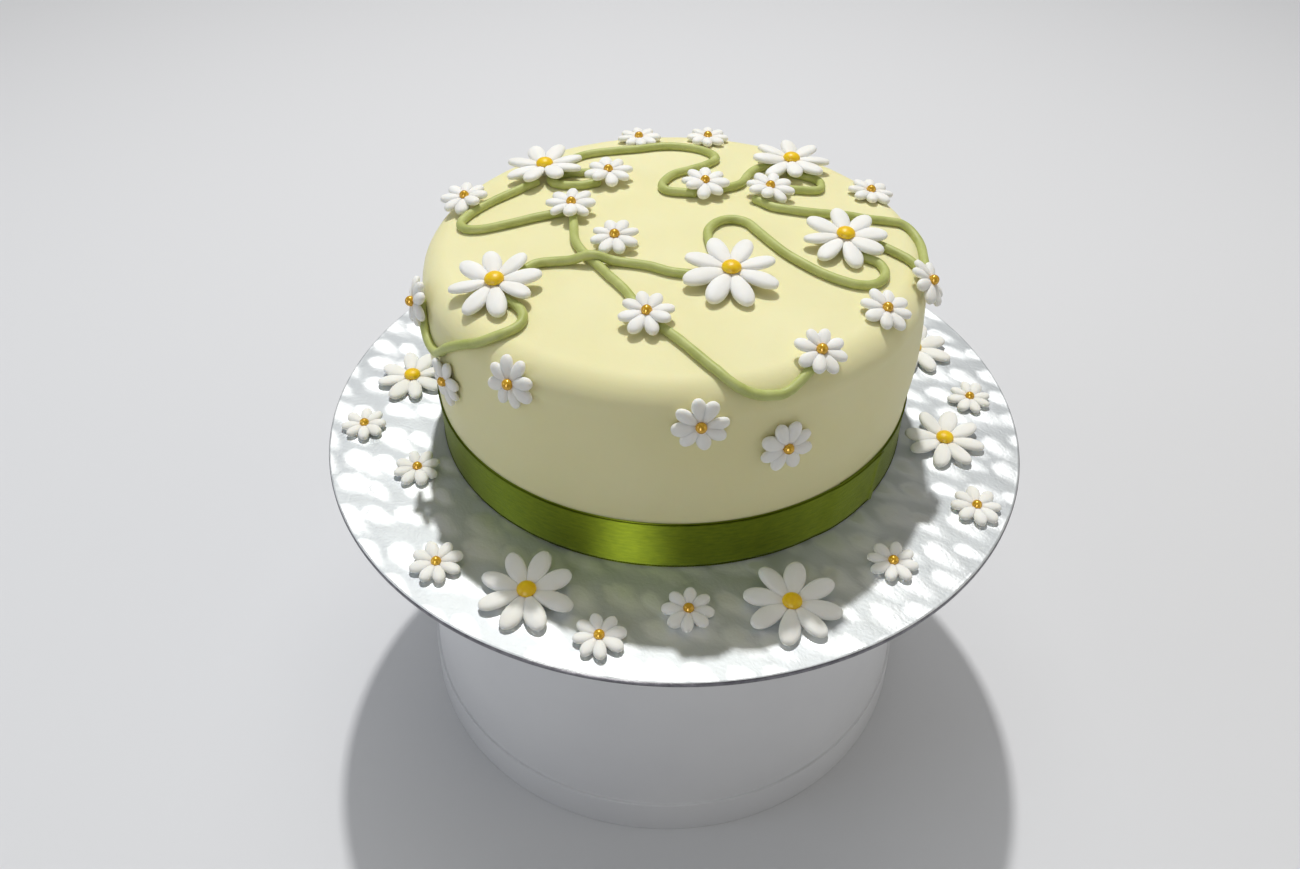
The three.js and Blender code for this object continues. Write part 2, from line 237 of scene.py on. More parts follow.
# Board: a round card wrapped in silver foil, rolled with low leaf shapes that lie aslant in rows.
# The foil is brushed one way on a leaf and another between, so that the leaves shine while the
# gaps stay grey, and the gaps are also painted a little greyer as painted shade. It is turned
# under the card, which shows its white paper below, and the lower half of its rolled rim is
# painted darker as painted shade.
BOARD_RADIUS = 0.1524
BOARD_EDGE_ROUND = 0.0012
BOARD_EDGE_STEPS = 4
BOARD_SEGMENTS = 900
FOIL_RING = 0.00105
FOIL_SHEET_RADIUS = BOARD_RADIUS - BOARD_EDGE_ROUND
FOIL_SEEN_FROM = 0.095
FOIL_HIDDEN_RINGS = 10
FOIL_FLAT_RIM = 0.0015
FOIL_TURNED_UNDER = 0.016
FOIL_END_SLOPE = 0.0002
PAPER_RECESS = 0.0001
RIM_PAINTED_SHADE_DROP = 0.0004
LEAF_ALONG_ROW = Vector((0.0138, -0.0006))
LEAF_DOWN_A_ROW = Vector((0.0014, -0.0163))
LEAF_BEARING = math.radians(-30)
LEAF_HEAD = 0.0068
LEAF_TAIL = 0.0117
LEAF_HALF_WIDTH = 0.0049
LEAF_TAPER = 0.4
LEAF_SHIFT = 0.0011
GAP_DRAWS = 40
LEAF_SWAY = 0.25
LEAF_SMALLEST = 0.88
LEAF_SIZE_RANGE = 0.24
LEAF_DEPTH = 0.00013
GAP_SWELL_SHARE = 0.5
LEAF_ARC_SHARE = 0.42
LEAF_RAGGED = 0.26
RAGGED_ALONG = 110
RAGGED_ACROSS = 360
LEAF_HEAD_EDGE = (0.60, 1.35)
LEAF_TAIL_EDGE = (0.25, 1.95)
BRUSH_TURN = math.radians(5)
BRUSH_FAN = -5.4
BRUSH_TURN_BETWEEN = math.radians(82)
BRUSH_SWING = 0.35
ROW_MESH_AREA = LEAF_ALONG_ROW.x * LEAF_DOWN_A_ROW.y - LEAF_ALONG_ROW.y * LEAF_DOWN_A_ROW.x


def nearest_leaf(x, y, shift):
    """How far a point is from the middle of the nearest leaf, 1 at its outline, how far on from the
    middle it is, and a number from 0 to 1 that is the leaf's own. A leaf has a round head and a
    narrower tail. A shift of a half gives the places between the leaves instead."""
    along = (x * LEAF_DOWN_A_ROW.y - y * LEAF_DOWN_A_ROW.x) / ROW_MESH_AREA - shift
    down = (y * LEAF_ALONG_ROW.x - x * LEAF_ALONG_ROW.y) / ROW_MESH_AREA - shift
    draws = GAP_DRAWS * shift
    found = []
    for place in (round(along) - 1, round(along), round(along) + 1):
        for row in (round(down) - 1, round(down), round(down) + 1):
            own = noise.cell(Vector((row + 0.5 + draws, place + 0.5, 0.5)))
            other = noise.cell(Vector((row + 0.5, place + 0.5 + draws, 7.5)))
            middle = LEAF_ALONG_ROW * (place + shift) + LEAF_DOWN_A_ROW * (row + shift)
            east = x - middle.x - (own - 0.5) * 2 * LEAF_SHIFT
            north = y - middle.y - (other - 0.5) * 2 * LEAF_SHIFT
            bearing = LEAF_BEARING + (other - 0.5) * LEAF_SWAY
            on = east * math.cos(bearing) + north * math.sin(bearing)
            off = north * math.cos(bearing) - east * math.sin(bearing)
            length = LEAF_TAIL if on > 0 else LEAF_HEAD
            taper = 1 + LEAF_TAPER * max(0.0, on) / LEAF_TAIL
            size = LEAF_SMALLEST + LEAF_SIZE_RANGE * own
            reach = math.hypot(on / length, off * taper / LEAF_HALF_WIDTH) / size
            found.append((reach, on, own))
    return min(found)


def foil_height(x, y):
    """Height of the foil's face: a swell on each leaf, half a swell in each gap, flat at the rim."""
    on_leaf, _, _ = nearest_leaf(x, y, 0.0)
    in_gap, _, _ = nearest_leaf(x, y, 0.5)
    flat_rim = min(1.0, max(0.0, (FOIL_SHEET_RADIUS - math.hypot(x, y)) / FOIL_FLAT_RIM))
    leaf_swell = math.cos(math.pi / 2 * min(1.0, on_leaf)) ** 2
    gap_swell = math.cos(math.pi / 2 * min(1.0, in_gap)) ** 2
    return board_high.z - LEAF_DEPTH * (1 - max(leaf_swell, GAP_SWELL_SHARE * gap_swell) * flat_rim)


def board_mesh():
    """The foil's face in rings, rolled over the rim and under, then the paper in the middle. Three
    attributes carry how it is brushed, its fine arcs and where its gaps are."""
    bm = bmesh.new()
    middle = bm.verts.new((0, 0, foil_height(0, 0)))
    hidden = [FOIL_SEEN_FROM * (i + 1) / FOIL_HIDDEN_RINGS for i in range(FOIL_HIDDEN_RINGS)]
    seen_rings = round((FOIL_SHEET_RADIUS - FOIL_SEEN_FROM) / FOIL_RING)
    seen = [
        FOIL_SEEN_FROM + (FOIL_SHEET_RADIUS - FOIL_SEEN_FROM) * (i + 1) / seen_rings
        for i in range(seen_rings)
    ]
    edge_turns = [math.pi / 2 * (i + 1) / BOARD_EDGE_STEPS for i in range(BOARD_EDGE_STEPS)]
    rim = [
        (FOIL_SHEET_RADIUS + BOARD_EDGE_ROUND * math.sin(turn),
         board_high.z - BOARD_EDGE_ROUND * (1 - math.cos(turn)))
        for turn in edge_turns
    ]
    rim += [
        (FOIL_SHEET_RADIUS + BOARD_EDGE_ROUND * math.cos(turn),
         board_low.z + BOARD_EDGE_ROUND * (1 - math.sin(turn)))
        for turn in [0.0] + edge_turns
    ]
    rim += [
        (BOARD_RADIUS - FOIL_TURNED_UNDER, board_low.z),
        (BOARD_RADIUS - FOIL_TURNED_UNDER - FOIL_END_SLOPE, board_low.z + PAPER_RECESS),
    ]
    rings = []
    for radius, height in [(radius, None) for radius in hidden + seen] + rim:
        ring = []
        for segment in range(BOARD_SEGMENTS):
            turn = math.tau * segment / BOARD_SEGMENTS
            x = radius * math.cos(turn)
            y = radius * math.sin(turn)
            ring.append(bm.verts.new((x, y, foil_height(x, y) if height is None else height)))
        rings.append(ring)
    for i in range(BOARD_SEGMENTS):
        j = (i + 1) % BOARD_SEGMENTS
        bm.faces.new((middle, rings[0][i], rings[0][j]))
        for near, far in zip(rings, rings[1:]):
            bm.faces.new((near[i], far[i], far[j], near[j]))
    paper = bm.faces.new(rings[-1][::-1])
    paper.material_index = 1
    painted_shade_height = board_high.z - RIM_PAINTED_SHADE_DROP
    # Faces of the rim below this line take the darker third finish: painted shade on the lower half of the
    # rolled rim.
    for face in bm.faces:
        spot = face.calc_center_median()
        if math.hypot(spot.x, spot.y) > FOIL_SHEET_RADIUS and spot.z < painted_shade_height:
            face.material_index = 2
    mesh = mesh_from(bm, "foil_board")
    brush = []
    arcs = []
    gaps = []
    for vert in mesh.vertices:
        x, y, _ = vert.co
        on_leaf, on, own = nearest_leaf(x, y, 0.0)
        in_gap, _, gap_own = nearest_leaf(x, y, 0.5)
        towards_tail = min(1.0, max(0.0, 0.5 + on / LEAF_TAIL))
        start = LEAF_HEAD_EDGE[0] + (LEAF_TAIL_EDGE[0] - LEAF_HEAD_EDGE[0]) * towards_tail
        end = LEAF_HEAD_EDGE[1] + (LEAF_TAIL_EDGE[1] - LEAF_HEAD_EDGE[1]) * towards_tail
        streak = Vector(((x - y) * RAGGED_ALONG, (x + y) * RAGGED_ACROSS, 0))
        ragged = LEAF_RAGGED * noise.noise(streak)
        gap = min(1.0, max(0.0, (on_leaf + ragged - start) / (end - start)))
        gap = gap * gap * (3 - 2 * gap)
        turn = BRUSH_TURN + BRUSH_FAN * x + BRUSH_TURN_BETWEEN * gap
        turn += (own + (gap_own - own) * gap - 0.5) * BRUSH_SWING
        brush.extend((math.cos(turn), math.sin(turn), 0.0))
        arcs.append(min(on_leaf, in_gap) / LEAF_ARC_SHARE + own)
        gaps.append(gap)
    mesh.attributes.new("brush", "FLOAT_VECTOR", "POINT").data.foreach_set("vector", brush)
    mesh.attributes.new("arcs", "FLOAT", "POINT").data.foreach_set("value", arcs)
    mesh.attributes.new("gap", "FLOAT", "POINT").data.foreach_set("value", gaps)
    return mesh


def reckon(tree, operation, *parts, clamp=False):
    """One step of arithmetic in a node tree."""
    return add_node(tree, "ShaderNodeMath", dict(enumerate(parts)),
                    operation=operation, use_clamp=clamp).outputs["Value"]


def foil_finish():
    finish, tree, shader = new_finish("embossed silver foil")
    place = object_place(tree)
    brush = add_node(tree, "ShaderNodeAttribute", attribute_name="brush").outputs["Vector"]
    arcs = add_node(tree, "ShaderNodeAttribute", attribute_name="arcs").outputs["Fac"]
    gap = add_node(tree, "ShaderNodeAttribute", attribute_name="gap").outputs["Fac"]
    tangent = add_node(tree, "ShaderNodeVectorTransform", {"Vector": brush},
                       vector_type="VECTOR", convert_from="OBJECT", convert_to="WORLD")
    tree.links.new(tangent.outputs["Vector"], shader.inputs["Tangent"])
    set_sockets(shader, {
        "Metallic": 1.0,
        "Anisotropic": 0.38,
        "Anisotropic Rotation": 0.25,
    })
    cloud = mottle(tree, place, 60.0)
    # The gaps between leaves are painted greyer than the leaves, patchy with noise: painted shade on top of
    # the grey their brushing gives them.
    painted_grey_gaps = reckon(tree, "MULTIPLY_ADD", cloud, 0.3, gap)
    tint(tree, shader, painted_grey_gaps, (234, 237, 239), (219, 223, 226), start=0.2, end=1.0)
    smudges = mottle(tree, place, 320.0, detail=5.0, roughness=0.7)
    worn_gap = reckon(tree, "MULTIPLY_ADD", smudges, 0.5, gap)
    roughen(tree, shader, worn_gap, 0.50, 0.66)
    lines = reckon(tree, "SINE", reckon(tree, "MULTIPLY", arcs, math.tau))
    brushed = relief(tree, lines, 0.000012, 0.7)
    crinkle = mottle(tree, place, 900.0, detail=4.0)
    tree.links.new(relief(tree, crinkle, 0.00012, 0.8, over=brushed), shader.inputs["Normal"])
    return finish


def foil_rim_painted_shade_finish():
    finish, tree, shader = new_finish("foil rim in painted shade")
    place = object_place(tree)
    creases = mottle(tree, place, 240.0, detail=4.0, roughness=0.65)
    # The rim's grey is much darker than the foil's: painted shade, mottled by fine crinkles.
    tint(tree, shader, creases, (98, 97, 104), (136, 135, 142))
    shader.inputs["Metallic"].default_value = 0.8
    roughen(tree, shader, creases, 0.28, 0.42)
    tree.links.new(relief(tree, creases, 0.0004, 0.8), shader.inputs["Normal"])
    return finish


def card_paper_finish():
    finish, tree, shader = new_finish("white card paper")
    place = object_place(tree)
    fibres = mottle(tree, place, 700.0, detail=6.0, roughness=0.7)
    tint(tree, shader, fibres, (222, 220, 214), (238, 237, 232))
    tree.links.new(relief(tree, fibres, 0.00005, 0.5), shader.inputs["Normal"])
    shader.inputs["Roughness"].default_value = 0.85
    return finish


new_piece("foil_board", board_mesh(), [foil_finish(), card_paper_finish(), foil_rim_painted_shade_finish()],
          ["board"])


# Cake: a round sponge under one sheet of cream sugar paste, smoothed down over the shoulder by
# hand. It is turned from its outline, with the slight waves and dents that smoothing leaves.
CAKE_RADIUS = 0.1016
CAKE_EDGE_HEIGHT = 0.083
CROWN_HEIGHT = 0.005
SHOULDER_RADIUS = 0.012
WALL_BULGE = 0.0014
WALL_STRAIGHT = 0.026
ICING_WAVE = 0.00035
WAVES_FROM = 0.024
WAVES_FADE = 0.012
WIDE_WAVES = 26
SHORT_WAVES = 70
SHORT_WAVE_SHARE = 0.35
WALL_RING_HEIGHT = 0.012

cake_low, cake_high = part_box("iced_cake")
cake_middle = Vector(((cake_low.x + cake_high.x) / 2, (cake_low.y + cake_high.y) / 2))
cake_foot = cake_low.z
wall_top = CAKE_EDGE_HEIGHT - SHOULDER_RADIUS
crown_radius = CAKE_RADIUS - SHOULDER_RADIUS


def icing_outline(crown_steps, shoulder_steps, wall_steps):
    """Cake outline of (radius, height) from the middle of the top down to the foot."""
    outline = []
    for i in range(crown_steps):
        out = i / crown_steps
        outline.append((crown_radius * out, CAKE_EDGE_HEIGHT + CROWN_HEIGHT * (1 - out * out)))
    for i in range(shoulder_steps):
        turn = math.pi / 2 * (1 - i / shoulder_steps)
        outline.append((
            crown_radius + SHOULDER_RADIUS * math.cos(turn),
            wall_top + SHOULDER_RADIUS * math.sin(turn),
        ))
    for i in range(wall_steps + 1):
        down = i / wall_steps
        outline.append((
            CAKE_RADIUS + WALL_BULGE * math.sin(math.pi * down),
            wall_top + (WALL_STRAIGHT - wall_top) * down,
        ))
    outline.append((CAKE_RADIUS, 0))
    return outline


def smoothed_by_hand(spot):
    """Moves a point by waves of a third of a millimetre, none where the ribbon goes round."""
    free = min(1.0, max(0.0, (spot.z - cake_foot - WAVES_FROM) / WAVES_FADE))
    wave = noise.noise(spot * WIDE_WAVES)
    wave += SHORT_WAVE_SHARE * noise.noise(spot * SHORT_WAVES + Vector((3, 1, 7)))
    outward = Vector((spot.x, spot.y, 0)) / CAKE_RADIUS
    outward.z = max(0.0, 1 - outward.length)
    return spot + outward * ((wave - 0.4) * ICING_WAVE * free)


def icing_finish():
    finish, tree, shader = new_finish("cream sugar paste")
    place = object_place(tree)
    cloud = mottle(tree, place, 22.0, detail=4.0)
    tint(tree, shader, cloud, (231, 225, 172), (235, 230, 182))
    patches = mottle(tree, place, 130.0, detail=5.0, roughness=0.6)
    roughen(tree, shader, patches, 0.52, 0.68)
    pits = mottle(tree, place, 1500.0, detail=3.0)
    strokes = mottle(tree, place, 190.0, detail=3.0)
    soft = relief(tree, strokes, 0.00025, 0.35)
    tree.links.new(relief(tree, pits, 0.00005, 0.5, over=soft), shader.inputs["Normal"])
    set_sockets(shader, {
        "Specular IOR Level": 0.35,
        "Sheen Weight": 0.12,
        "Sheen Roughness": 0.5,
        "Subsurface Weight": 0.35,
        "Subsurface Radius": (1.0, 0.75, 0.4),
        "Subsurface Scale": 0.0025,
    })
    return finish


cake_outline = [(radius, height + cake_foot) for radius, height in icing_outline(26, 22, 34)]
cake_outline.insert(-1, (CAKE_RADIUS, cake_foot + WALL_RING_HEIGHT))
cake_outline[-1] = (CAKE_RADIUS, board_high.z)
cake_outline.append((0, board_high.z))
new_piece("icing", turned_mesh("icing", cake_outline[::-1], cake_middle, shape=smoothed_by_hand),
          [icing_finish()], ["iced_cake"])


# Ribbon: moss green satin, wound once round the foot of the cake, with its end glued over its
# start at the back right. It is one woven strip with a corded selvedge along both edges.
RIBBON_START_BEARING = -51
RIBBON_LAP_SWEEP = 15
RIBBON_LAP_SLANT = 2.2
RIBBON_LAP_GAP = 0.00012
RIBBON_CLIMB_SWEEP = 4
RIBBON_FREE_SWEEP = 2.0
RIBBON_END_LIFT = 0.0008
RIBBON_RIPPLE = 0.00014
RIBBON_GAP = 0.0001
RIBBON_LAYER = 0.0004
RIBBON_ROWS = 14
RIBBON_STEP = 1.0
THREAD_PITCH = 0.0004
SELVEDGE_RADIUS = 0.00034
SELVEDGE_PITCH = 0.0011
SELVEDGE_INSET = 0.0006

ribbon_low, ribbon_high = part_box("ribbon")
ribbon_foot = board_high.z
ribbon_width = ribbon_high.z - ribbon_low.z
ribbon_inner = CAKE_RADIUS + RIBBON_GAP


def ribbon_radius(degrees_on, height):
    """Radius of the strip's inner face, degrees_on round from where it starts. It climbs on to its
    own start, and its free end lifts a little."""
    over = degrees_on - 360
    rise = 0.0
    if over > -RIBBON_CLIMB_SWEEP:
        climbed = min(1.0, (over + RIBBON_CLIMB_SWEEP) / RIBBON_CLIMB_SWEEP)
        rise = climbed * (RIBBON_LAYER + RIBBON_LAP_GAP)
    free_end = over - RIBBON_LAP_SWEEP + RIBBON_FREE_SWEEP
    if free_end > 0:
        rise += RIBBON_END_LIFT * (free_end / RIBBON_FREE_SWEEP) ** 2
    ripple = noise.noise(Vector((degrees_on / 17, height * 60, 5))) * RIBBON_RIPPLE
    return ribbon_inner + rise + abs(ripple)


def ribbon_spot(degrees_on, height, outward):
    """A point of the strip, outward from its inner face. Its ends are cut a little aslant."""
    slant = RIBBON_LAP_SLANT * (height / ribbon_width - 0.5)
    turn = math.radians(RIBBON_START_BEARING + slant + degrees_on)
    radius = ribbon_radius(degrees_on, height) + outward
    return Vector((
        cake_middle.x + radius * math.cos(turn),
        cake_middle.y + radius * math.sin(turn),
        ribbon_foot + height,
    ))


def ribbon_mesh():
    """The strip with an inner and an outer face, and a map that follows its weave."""
    bm = bmesh.new()
    weave = bm.loops.layers.uv.new("weave")
    steps = round((360 + RIBBON_LAP_SWEEP) / RIBBON_STEP)
    spots = {}
    for layer, outward in enumerate((0.0, RIBBON_LAYER)):
        for step in range(steps + 1):
            for row in range(RIBBON_ROWS + 1):
                height = ribbon_width * row / RIBBON_ROWS
                spot = ribbon_spot(step * RIBBON_STEP, height, outward)
                spots[layer, step, row] = bm.verts.new(spot)

    def quad(*keys):
        face = bm.faces.new([spots[key] for key in keys])
        for loop, (_, step, row) in zip(face.loops, keys):
            along = math.radians(step * RIBBON_STEP) * CAKE_RADIUS
            loop[weave].uv = (along, ribbon_width * row / RIBBON_ROWS)

    for step in range(steps):
        for row in range(RIBBON_ROWS):
            quad((1, step, row), (1, step + 1, row), (1, step + 1, row + 1), (1, step, row + 1))
            quad((0, step, row), (0, step, row + 1), (0, step + 1, row + 1), (0, step + 1, row))
        quad((0, step, 0), (0, step + 1, 0), (1, step + 1, 0), (1, step, 0))
        top = RIBBON_ROWS
        quad((1, step, top), (1, step + 1, top), (0, step + 1, top), (0, step, top))
    for row in range(RIBBON_ROWS):
        quad((0, 0, row), (1, 0, row), (1, 0, row + 1), (0, 0, row + 1))
        quad((0, steps, row), (0, steps, row + 1), (1, steps, row + 1), (1, steps, row))
    return mesh_from(bm, "satin_ribbon")


def satin_finish():
    finish, tree, shader = new_finish("moss green satin")
    weave = add_node(tree, "ShaderNodeUVMap", uv_map="weave").outputs["UV"]
    parts = add_node(tree, "ShaderNodeSeparateXYZ", {"Vector": weave})
    stretched = add_node(tree, "ShaderNodeVectorMath", {
        0: weave, 1: (0.25, 1.0, 1.0),
    }, operation="MULTIPLY").outputs["Vector"]
    slubs = mottle(tree, stretched, 900.0, detail=4.0, roughness=0.6)
    tint(tree, shader, slubs, (106, 125, 7), (136, 152, 20), start=0.25, end=0.75)
    warp = reckon(tree, "MULTIPLY", parts.outputs["Y"], math.tau / THREAD_PITCH)
    woven = relief(tree, reckon(tree, "SINE", warp), 0.00002, 0.5)
    tree.links.new(relief(tree, slubs, 0.00012, 0.6, over=woven), shader.inputs["Normal"])
    tangent = add_node(tree, "ShaderNodeTangent", direction_type="UV_MAP", uv_map="weave")
    tree.links.new(tangent.outputs["Tangent"], shader.inputs["Tangent"])
    set_sockets(shader, {
        "Roughness": 0.5,
        "Metallic": 0.7,
        "Anisotropic": 0.97,
        "Anisotropic Rotation": 0.25,
        "Sheen Weight": 0.15,
        "Sheen Roughness": 0.4,
    })
    return finish


satin = satin_finish()
new_piece("satin_ribbon", ribbon_mesh(), [satin], ["ribbon"])


def new_tree(name, inputs):
    """A Geometry Nodes tree with named inputs. Returns it with its first and last node."""
    tree = bpy.data.node_groups.new(name, "GeometryNodeTree")
    tree.interface.new_socket("Geometry", in_out="INPUT", socket_type="NodeSocketGeometry")
    for label, kind in inputs:
        tree.interface.new_socket(label, in_out="INPUT", socket_type="NodeSocket" + kind)
    tree.interface.new_socket("Geometry", in_out="OUTPUT", socket_type="NodeSocketGeometry")
    return tree, tree.nodes.new("NodeGroupInput"), tree.nodes.new("NodeGroupOutput")


def grown_mesh(name, carrier_data, tree, values):
    """Runs a tree on a carrier object and keeps the result as a plain mesh."""
    carrier = bpy.data.objects.new(name + "_carrier", carrier_data)
    bpy.context.scene.collection.objects.link(carrier)
    modifier = carrier.modifiers.new("grow", "NODES")
    modifier.node_group = tree
    for item in tree.interface.items_tree:
        if item.item_type == "SOCKET" and item.in_out == "INPUT" and item.name in values:
            modifier[item.identifier] = values[item.name]
    bpy.context.view_layer.update()
    graph = bpy.context.evaluated_depsgraph_get()
    mesh = bpy.data.meshes.new_from_object(carrier.evaluated_get(graph), depsgraph=graph)
    mesh.name = name
    carrier.modifiers.remove(modifier)
    bpy.data.objects.remove(carrier)
    return mesh


def cord_tree():
    """A tree that strings small beads of thread along curves."""
    tree, start, end = new_tree("selvedge cord", [
        ("Bead Radius", "Float"), ("Pitch", "Float"), ("Finish", "Material"),
    ])
    spaced = add_node(tree, "GeometryNodeCurveToPoints", {
        "Curve": start.outputs["Geometry"], "Length": start.outputs["Pitch"],
    }, mode="LENGTH")
    bead = add_node(tree, "GeometryNodeMeshIcoSphere", {
        "Radius": start.outputs["Bead Radius"], "Subdivisions": 1,
    })
    long_bead = add_node(tree, "GeometryNodeTransform", {
        "Geometry": bead.outputs["Mesh"], "Scale": (1.0, 1.0, 2.0),
    })
    strung = add_node(tree, "GeometryNodeInstanceOnPoints", {
        "Points": spaced.outputs["Points"], "Instance": long_bead.outputs["Geometry"],
        "Rotation": spaced.outputs["Rotation"],
    })
    real = add_node(tree, "GeometryNodeRealizeInstances", {"Geometry": strung.outputs["Instances"]})
    dyed = add_node(tree, "GeometryNodeSetMaterial", {
        "Geometry": real.outputs["Geometry"], "Material": start.outputs["Finish"],
    })
    tree.links.new(dyed.outputs["Geometry"], end.inputs["Geometry"])
    return tree


def route_curve(name, routes):
    """One curve object's data with a polyline for each route of points."""
    curve = bpy.data.curves.new(name, "CURVE")
    curve.dimensions = "3D"
    for route in routes:
        spline = curve.splines.new("POLY")
        spline.points.add(len(route) - 1)
        for point, spot in zip(spline.points, route):
            point.co = (*spot, 1.0)
    return curve


selvedge_routes = [
    [
        ribbon_spot(degrees_on, edge_height, RIBBON_LAYER)
        for degrees_on in range(0, 361 + RIBBON_LAP_SWEEP, 2)
    ]
    for edge_height in (SELVEDGE_INSET, ribbon_width - SELVEDGE_INSET)
]
selvedge = grown_mesh("ribbon_selvedge", route_curve("selvedge", selvedge_routes), cord_tree(), {
    "Bead Radius": SELVEDGE_RADIUS, "Pitch": SELVEDGE_PITCH, "Finish": satin,
})
new_piece("ribbon_selvedge", selvedge, [satin], [])


# Vines: strings of green sugar paste rolled under the palm and laid on the icing in curls, with
# most ends hidden under a daisy. A route's points are millimetres on the flat sheet of icing,
# with a third number where the vine climbs over another.
MM = 0.001
VINE_RADIUS = 0.00184
VINE_PRESSED_IN = 0.0004
VINE_STEP = 0.0011
VINE_SIDES = 14
VINE_UNEVEN = 0.09
VINE_RUN_ON = 0.0045
VINE_CLIMB = 0.6
VINE_TIP_SHARE = 0.02
VINE_SMOOTH_STEPS = 6

vine_routes = {
    "vine_back_left_loop": [
        (-48, 8), (-57, 5), (-67, 1), (-77, -2), (-84, -1), (-87, 4),
        (-84, 12), (-77, 21), (-70, 28), (-62, 36),
    ],
    "vine_back_rim": [
        (-47, 61), (-42, 66), (-35, 69), (-26, 71), (-17, 73), (-8, 76), (1, 76), (10, 73), (16, 67),
        (17, 61), (12, 54), (6, 49), (-1, 44), (-5, 37), (-6, 31), (-3, 27), (5, 26),
    ],
    "vine_back_middle": [(20, 31), (27, 36), (31, 46), (35, 53), (40, 56)],
    "vine_back_right_curl": [(52, 50), (59, 47), (62, 43), (61, 36), (56, 34), (51, 34), (46, 33)],
    "vine_back_hook": [
        (-40, 46), (-46, 46), (-51, 44), (-54, 41), (-53, 37), (-49, 34), (-41, 33), (-36, 34.5),
    ],
    "vine_left_drop": [
        (-41, 4), (-40, -4), (-39, -12), (-37, -18), (-33, -25), (-28, -32),
        (-24, -38), (-17, -48), (-13, -57),
    ],
    "vine_front_swag": [
        (-4, -68), (2, -74), (8, -81), (14, -88), (20, -93.5), (27, -96),
        (34, -95.5), (40, -93), (46, -86),
    ],
    "vine_cross": [
        (-56, -33), (-52, -29.5), (-46, -28.5), (-39, -28.5, 0.8), (-31, -28.5, 4.6), (-23, -29, 0.8),
        (-17, -30), (-9, -32), (-1, -35.5), (9, -37),
    ],
    "vine_right_s": [
        (14, -17), (13, -11), (13, -6), (15, -1), (19, 3), (24, 4), (29, 1.5), (33, -5), (38, -13),
        (43, -20), (49, -26), (55, -31), (62, -35), (69, -37), (75, -35.5), (79, -31),
        (80, -25.5), (78, -20.5), (73, -18),
    ],
    "vine_right_rim": [
        (35, 20.5), (40, 16.5), (47, 15), (55, 14), (63, 14), (71, 14), (79, 13), (87, 13), (93, 12),
        (97, 7), (99, 0), (98.5, -8), (98, -15),
    ],
    "vine_right_drop": [(76, -6), (81, -8), (86, -11.5), (90, -15), (93, -19)],
    "vine_left_swag": [
        (-59, -53), (-55, -57), (-53, -62), (-54, -67), (-59, -71), (-67, -72), (-76, -69.5),
        (-86, -66), (-95, -63.5), (-101, -60), (-105.5, -54), (-107.5, -48), (-106, -43), (-102, -39),
    ],
}

icing_line = [Vector(point) for point in icing_outline(24, 16, 16)]


def on_icing(sheet_x, sheet_y, lift):
    """The place on the cake of a point on the flat sheet of icing, lifted off it. Metres."""
    bearing = math.atan2(sheet_y, sheet_x)
    left = math.hypot(sheet_x, sheet_y)
    for start, end in zip(icing_line, icing_line[1:]):
        length = (end - start).length
        if left <= length:
            break
        left -= length
    along = (end - start).normalized()
    spot = start + along * left + Vector((-along.y, along.x)) * lift
    return Vector((
        cake_middle.x + spot.x * math.cos(bearing),
        cake_middle.y + spot.x * math.sin(bearing),
        cake_foot + spot.y,
    ))


def smooth_line(points, steps):
    """A soft curve through all the points of a route, steps pieces from each point to the next."""
    padded = [points[0] * 2 - points[1]] + points + [points[-1] * 2 - points[-2]]
    line = []
    for a, b, c, d in zip(padded, padded[1:], padded[2:], padded[3:]):
        for step in range(steps):
            t = step / steps
            line.append(0.5 * (2 * b + (c - a) * t + (2 * a - 5 * b + 4 * c - d) * t * t
                               + (3 * b - a - 3 * c + d) * t ** 3))
    line.append(points[-1])
    return line


def laid_vine(route):
    """A route as points on the icing, smooth along its length."""
    flat = [Vector((*spot, 0.0)[:3]) * MM for spot in route]
    first = flat[0] + (flat[0] - flat[1]).normalized() * VINE_RUN_ON
    last = flat[-1] + (flat[-1] - flat[-2]).normalized() * VINE_RUN_ON
    lift = VINE_RADIUS - VINE_PRESSED_IN
    line = smooth_line([first, *flat, last], VINE_SMOOTH_STEPS)
    return [on_icing(spot.x, spot.y, lift + max(0.0, spot.z) * VINE_CLIMB) for spot in line]


